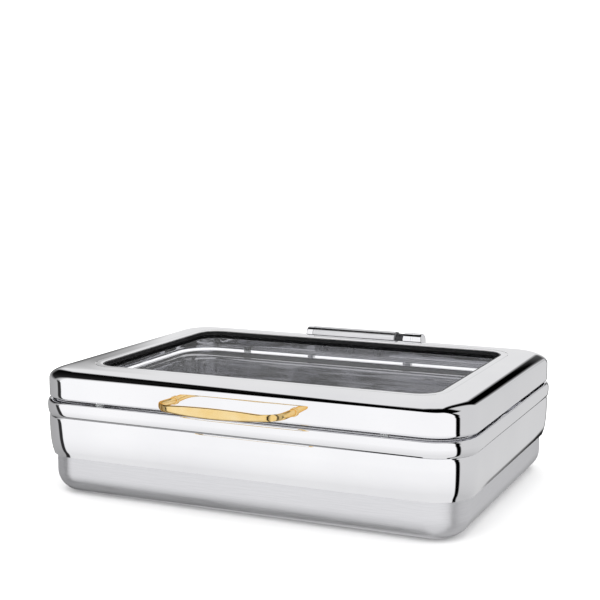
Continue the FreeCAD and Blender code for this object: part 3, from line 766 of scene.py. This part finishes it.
right_profile = [(71.55, GROOVE_R), (71.9, CAP_R), (74.2, CAP_R), (74.4, GROOVE_R), (74.8, GROOVE_R)]
right_profile += [(75.0, CAP_R)] + rounded_end(88.45, 1, CAP_R, 5.0)
right_cap = turned(right_profile, capped=(1, len(right_profile)))
finish_piece(right_cap, "cap_right_turned", steel_mirror, "base", ["hinge_cap_right"])
left_profile = [(-90.05, GROOVE_R), (-90.3, CAP_R)] + rounded_end(-92.45, -1, CAP_R, 1.8)
left_cap = turned(left_profile, capped=(1, len(left_profile)))
finish_piece(left_cap, "cap_left_turned", steel_mirror, "base", ["hinge_cap_left"])

# %% [markdown]
# ## The rest of the hinge and the fasteners
# The bracket, the leaf, the pin, the spring, the screws and the nuts keep their engineering shapes, which
# already carry their true edges. Each only takes the finish of its metal or plastic.

# %% Finish the engineering pieces
kept = {
    dull_steel_and_painted_shade: ["induction_plate"],
    steel_mirror: ["hinge_base_bracket"],
    steel_soft: ["hinge_lid_leaf", "retainer_frame", "hinge_backing_plate", "lid_backing_bar", "hinge_pin"],
    steel_spring: ["hinge_spring"],
    nylon: ["hinge_bush_left", "hinge_bush_right"],
    damper_black: ["hinge_damper"],
}
fasteners = ["window_studs", "window_nuts", "handle_washers", "handle_screws"]
kept[steel_screw] = fasteners + ["hinge_base_screws", "hinge_base_nuts", "hinge_lid_screws", "hinge_lid_nuts"]
for finish, names in kept.items():
    for name in names:
        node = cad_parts[name]
        node.data.materials.clear()
        node.data.materials.append(finish)
print("engineering pieces finished:", sum(len(names) for names in kept.values()))

# %% [markdown]
# ## Studio
# Polished steel shows only what stands round it, so the studio is made of large soft walls: white ones in
# front, grey ones behind and at the right, and dark gaps between them that draw the edges. A world that
# depends on direction does this exactly. Only mirror rays see it. Everything matt is lit by an even white
# room.

# %% Directions of the room
TURN_BELOW = -16.0  # degrees that the walls' edges have turned straight below the chafer

room = bpy.data.worlds.new("soft_studio")
room.use_nodes = True
sky = room.node_tree
sky.nodes.clear()
direction = add(sky, "ShaderNodeTexCoord").outputs["Generated"]
split = add(sky, "ShaderNodeSeparateXYZ", {"Vector": direction})
east, north, up = split.outputs
heading = maths(sky, "MULTIPLY", maths(sky, "ARCTAN2", east, north), 180.0 / math.pi)
heading = maths(sky, "MULTIPLY_ADD", maths(sky, "MINIMUM", up, 0.0), TURN_BELOW, heading)
print("headings run from -180 to 180 degrees, with 0 straight behind the chafer")


def walls(stops):
    """Brightness by heading, from stops of (heading in degrees, brightness)."""
    place = between(sky, heading, 0.0, 1.0, -180.0, 180.0)
    ramp = add(sky, "ShaderNodeValToRGB", {"Fac": place})
    dots = ramp.color_ramp.elements
    for dot, (degrees, level) in zip([dots[0], dots[1]], (stops[0], stops[-1])):
        dot.position, dot.color = (degrees + 180.0) / 360.0, (level, level, level, 1.0)
    for degrees, level in stops[1:-1]:
        dots.new((degrees + 180.0) / 360.0).color = (level, level, level, 1.0)
    return ramp.outputs["Color"]


# %% Walls of the room at the level of the body, and above the lid
WHITE, BACK, SIDE = 1.0, 0.80, 0.66  # brightness of the front, back and right-hand walls

low_walls = walls([
    (-180, WHITE), (-120, WHITE), (-118, 0.03), (-107, 0.03), (-104, 0.45), (-80, 0.42), (-46, 0.40),
    (-41, 0.02), (-33, 0.02), (-31, BACK), (0, BACK), (2, 0.02), (9, 0.02), (11, SIDE), (101, SIDE),
    (103, 0.0), (113, 0.0), (115, WHITE), (180, WHITE)])
high_walls = walls([
    (-180, WHITE), (-125, WHITE), (-102, 0.35), (-93, 0.03), (-45, 0.0), (-42, BACK), (-8, BACK), (-6.5, 0.0),
    (1, 0.0), (2.5, SIDE), (98, SIDE), (100, 0.0), (112, 0.0), (114, WHITE), (180, WHITE)])
rise = between(sky, up, 0.0, 1.0, 0.02, 0.3)
wall_light = maths(sky, "MULTIPLY_ADD", rise, maths(sky, "SUBTRACT", high_walls, low_walls), low_walls)
print("brightness of the walls:", WHITE, BACK, SIDE)

# %% Dark ceiling and a dimmer floor
ceiling = walls([
    (-180, 0.955), (-150, 0.95), (-120, 0.91), (-100, 0.87), (-80, 0.82), (-58, 0.82), (-48, 0.87),
    (-20, 0.885), (5, 0.85), (30, 0.83), (100, 0.83), (108, 0.90), (115, 0.96), (180, 0.955)])
below_ceiling = between(sky, maths(sky, "SUBTRACT", up, ceiling), 1.0, 0.0, -0.02, 0.02)
dimmer = between(sky, up, 0.82, 1.0, -0.6, -0.3)
mirror_light = maths(sky, "MULTIPLY", maths(sky, "MULTIPLY", wall_light, below_ceiling), dimmer)
print("the ceiling starts where a mirror looks up by about", round(math.degrees(math.asin(0.85))), "degrees")

# %% Even light for everything that isn't a mirror
DIFFUSE_LIGHT = 1.75

ray = add(sky, "ShaderNodeLightPath")
plain = maths(sky, "MAXIMUM", ray.outputs["Is Camera Ray"], ray.outputs["Is Diffuse Ray"])
even = maths(sky, "MULTIPLY", plain, DIFFUSE_LIGHT)
seen = maths(sky, "MULTIPLY_ADD", maths(sky, "SUBTRACT", 1.0, plain), mirror_light, even)
background = add(sky, "ShaderNodeBackground", {"Color": seen, "Strength": 1.0})
surface = add(sky, "ShaderNodeOutputWorld")
sky.links.new(background.outputs[0], surface.inputs["Surface"])
bpy.context.scene.world = room
bpy.context.scene.view_settings.view_transform = "Standard"
print("world nodes:", len(sky.nodes))

# %% [markdown]
# ## Floor, soft light and camera
# The floor is a wide pale sheet that runs far past the view, so there is no edge to see. One big soft lamp
# adds a little direction. The camera stands in front and to the right, a little above the lid, with a long
# lens.

# %% Floor
FLOOR_SIZE = 60.0


def floor_finish():
    finish, tree, shader = new_finish("pale_floor")
    paper = grain(tree, 3.0, detail=3.0)
    tree.links.new(shades(tree, paper, (0.86, 0.86, 0.86), (0.9, 0.9, 0.9)), shader.inputs["Base Color"])
    shader.inputs["Roughness"].default_value = 0.9
    shader.inputs["Specular IOR Level"].default_value = 0.1
    return finish


clear_selection()
bpy.ops.mesh.primitive_plane_add(size=FLOOR_SIZE, location=(0, 0, 0))
floor = bpy.context.object
floor.name = "studio_floor"
floor.data.materials.append(floor_finish())
floor.visible_glossy = False
print("floor size in metres:", FLOOR_SIZE)

# %% Soft lamp
clear_selection()
bpy.ops.object.light_add(type="AREA", location=(0.4, -0.9, 2.2))
lamp = bpy.context.object
lamp.name = "soft_lamp"
lamp.data.size = 2.4
lamp.data.energy = 8.0
lamp.rotation_euler = Vector((-0.4, 0.9, -2.1)).to_track_quat("-Z", "Y").to_euler()
lamp.visible_glossy = False
print("lamp size in metres and power in watts:", lamp.data.size, lamp.data.energy)

# %% Camera
camera_data = bpy.data.cameras.new("front_right")
camera = bpy.data.objects.new("front_right", camera_data)
bpy.context.scene.collection.objects.link(camera)
camera.location = (0.6740, -1.5197, 0.4666)
camera.rotation_euler = Vector((-0.4056, 0.9038, -0.1366)).to_track_quat("-Z", "Y").to_euler()
camera_data.sensor_width = 36.0
camera_data.lens = 77.17
bpy.context.scene.camera = camera
print("camera at:", [round(c, 3) for c in camera.location])
